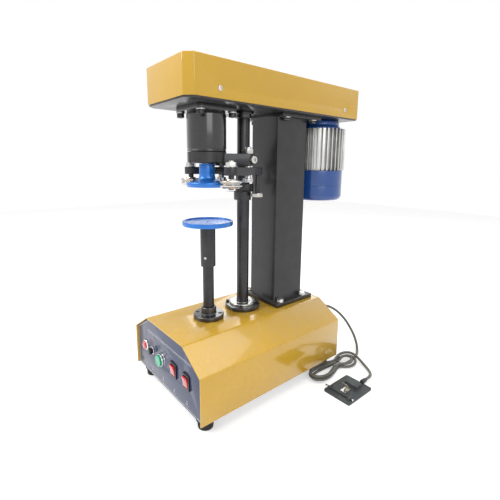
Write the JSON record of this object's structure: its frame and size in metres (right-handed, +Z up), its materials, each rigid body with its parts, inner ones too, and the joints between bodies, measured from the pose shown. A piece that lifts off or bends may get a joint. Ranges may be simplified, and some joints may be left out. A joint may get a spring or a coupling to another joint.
{
  "type": "can seamer",
  "caption": "Bench can seamer: tall column on a box base, overhung belt head with a spinning chuck, two roller arms, a rising can plate and a foot switch.",
  "frame": {"origin": "centre of the base's footprint, on the bench under its rubber feet", "axes": "+Z up, -Y towards the operator at the control panel, X across the machine"},
  "size_m": [0.4225, 0.5795, 0.7236],
  "materials": {
    "yellow_paint": "gloss",
    "panel_blue": "satin",
    "black_steel": "semi-gloss blackened steel",
    "bright_steel": "machined",
    "blue_anodised": "anodised",
    "cast_aluminium": "cast",
    "motor_blue": "gloss",
    "rubber": "matte",
    "black_plastic": "gloss",
    "red_plastic": "gloss",
    "green_plastic": "gloss",
    "pedal_grey": "moulded",
    "cord_grey": "matte",
    "plain_steel": "plain"
  },
  "bodies": {
    "frame": {"base_cover": "yellow_paint", "base_plate": "plain_steel", "support_frame": "plain_steel", "rubber_feet": "rubber", "front_panel": "panel_blue", "rear_panel": "panel_blue", "mains_inlet": "black_plastic", "column": "black_steel", "head_plate": "black_steel", "top_cover": "yellow_paint", "lid_screws": "bright_steel", "frame_bolts": "black_steel", "spindle_housing": "black_steel", "drive_belt": "rubber", "arm_bracket": "black_steel", "pivot_pins": "bright_steel", "socket_screws": "black_steel", "camshaft_flange": "black_steel", "bearing_cap": "bright_steel", "top_bearing": "black_steel", "lifter_flange": "black_steel", "lever_bracket": "plain_steel", "motor_body": "cast_aluminium", "motor_end_bell": "motor_blue", "fan_cover": "motor_blue", "gearmotor": "cast_aluminium", "pilot_lamp": "red_plastic", "panel_bezels": "black_plastic", "pedal_base": "pedal_grey", "treadle_spring": "bright_steel", "cord_glands": "black_plastic", "cord_drop": "cord_grey", "cord_lead": "cord_grey", "cord_hank": "cord_grey"},
    "motor_rotor": {"motor_shaft": "bright_steel", "motor_pulley": "cast_aluminium", "motor_fan": "black_plastic"},
    "spindle_set": {"spindle": "bright_steel", "seaming_chuck": "blue_anodised", "spindle_pulley": "cast_aluminium"},
    "camshaft_set": {"camshaft": "black_steel", "arm_cams": "black_steel", "lift_cam": "plain_steel", "camshaft_gear": "plain_steel"},
    "pinion": {"drive_pinion": "plain_steel"},
    "first_arm": {"first_arm": "black_steel"},
    "second_arm": {"second_arm": "black_steel"},
    "first_roller": {"first_roller": "bright_steel"},
    "second_roller": {"second_roller": "bright_steel"},
    "first_follower": {"first_follower": "bright_steel"},
    "second_follower": {"second_follower": "bright_steel"},
    "lifter": {"lifter_rod": "black_steel"},
    "sleeve": {"height_sleeve": "black_steel"},
    "plate": {"can_plate": "blue_anodised"},
    "lever": {"lift_lever": "plain_steel"},
    "treadle": {"treadle": "pedal_grey"},
    "start_button": {"start_button": "green_plastic"},
    "power_rocker": {"power_rocker": "red_plastic"},
    "mode_rocker": {"mode_rocker": "red_plastic"},
    "fuse_cap": {"fuse_cap": "black_plastic"}
  },
  "joints": [
    {"name": "motor_spin", "type": "hinge", "parent": "frame", "child": "motor_rotor", "pos_m": [0, 0.282, 0.6], "axis": [0, 0, 1], "continuous": true},
    {"name": "spindle_spin", "type": "hinge", "parent": "frame", "child": "spindle_set", "pos_m": [0, -0.0934, 0.56], "axis": [0, 0, 1], "continuous": true},
    {"name": "camshaft_spin", "type": "hinge", "parent": "frame", "child": "camshaft_set", "pos_m": [0, 0.01, 0.3], "axis": [0, 0, 1], "continuous": true},
    {"name": "pinion_spin", "type": "hinge", "parent": "frame", "child": "pinion", "pos_m": [0, 0.073, 0.062], "axis": [0, 0, 1], "continuous": true},
    {"name": "first_arm_swing", "type": "hinge", "parent": "frame", "child": "first_arm", "pos_m": [0.0513, -0.0177, 0.512], "axis": [0, 0, -1], "range_deg": [0, 7], "stiffness_Nm_per_rad": 2, "springref_deg": -2.86},
    {"name": "second_arm_swing", "type": "hinge", "parent": "frame", "child": "second_arm", "pos_m": [-0.0513, -0.0177, 0.512], "axis": [0, 0, 1], "range_deg": [0, 7], "stiffness_Nm_per_rad": 2, "springref_deg": -2.86},
    {"name": "first_roller_spin", "type": "hinge", "parent": "first_arm", "child": "first_roller", "pos_m": [0.0795, -0.0866, 0.487], "axis": [0, 0, 1], "continuous": true},
    {"name": "second_roller_spin", "type": "hinge", "parent": "second_arm", "child": "second_roller", "pos_m": [-0.0795, -0.0866, 0.487], "axis": [0, 0, 1], "continuous": true},
    {"name": "first_follower_spin", "type": "hinge", "parent": "first_arm", "child": "first_follower", "pos_m": [0.0369, 0.0227, 0.456], "axis": [0, 0, 1], "continuous": true},
    {"name": "second_follower_spin", "type": "hinge", "parent": "second_arm", "child": "second_follower", "pos_m": [-0.0369, 0.0227, 0.475], "axis": [0, 0, 1], "continuous": true},
    {"name": "lifter_slide", "type": "slide", "parent": "frame", "child": "lifter", "axis": [0, 0, 1], "range_m": [0, 0.02]},
    {"name": "height_slide", "type": "slide", "parent": "lifter", "child": "sleeve", "axis": [0, 0, 1], "range_m": [-0.036, 0.008]},
    {"name": "plate_spin", "type": "hinge", "parent": "sleeve", "child": "plate", "pos_m": [0, -0.0934, 0.395], "axis": [0, 0, 1], "continuous": true},
    {"name": "lever_swing", "type": "hinge", "parent": "frame", "child": "lever", "pos_m": [0, -0.045, 0.0856], "axis": [-1, 0, 0], "range_deg": [0, 24]},
    {"name": "treadle_swing", "type": "hinge", "parent": "frame", "child": "treadle", "pos_m": [0.237, 0.11, 0.008], "axis": [-1, 0, 0], "range_deg": [0, 4.5], "stiffness_Nm_per_rad": 3, "springref_deg": -20.05, "deforming": ["treadle_spring"]},
    {"name": "start_push", "type": "slide", "parent": "frame", "child": "start_button", "axis": [0, 1, 0], "range_m": [0, 0.003], "stiffness_N_per_m": 600, "springref_m": -0.002},
    {"name": "power_tilt", "type": "hinge", "parent": "frame", "child": "power_rocker", "pos_m": [0.0365, -0.2085, 0.093], "axis": [1, 0, 0], "range_deg": [0, 16]},
    {"name": "mode_tilt", "type": "hinge", "parent": "frame", "child": "mode_rocker", "pos_m": [0.09, -0.2085, 0.093], "axis": [1, 0, 0], "range_deg": [0, 16]},
    {"name": "fuse_turn", "type": "hinge", "parent": "frame", "child": "fuse_cap", "pos_m": [-0.067, -0.2085, 0.093], "axis": [0, 1, 0], "range_deg": [0, 90]}
  ],
  "couplings": [
    {"joint": "motor_spin", "follows": "spindle_spin", "ratio": 1.5294},
    {"joint": "pinion_spin", "follows": "camshaft_spin", "ratio": -2.5},
    {"joint": "lever_swing", "follows": "lifter_slide", "rad_per_m": 20.661}
  ]
}
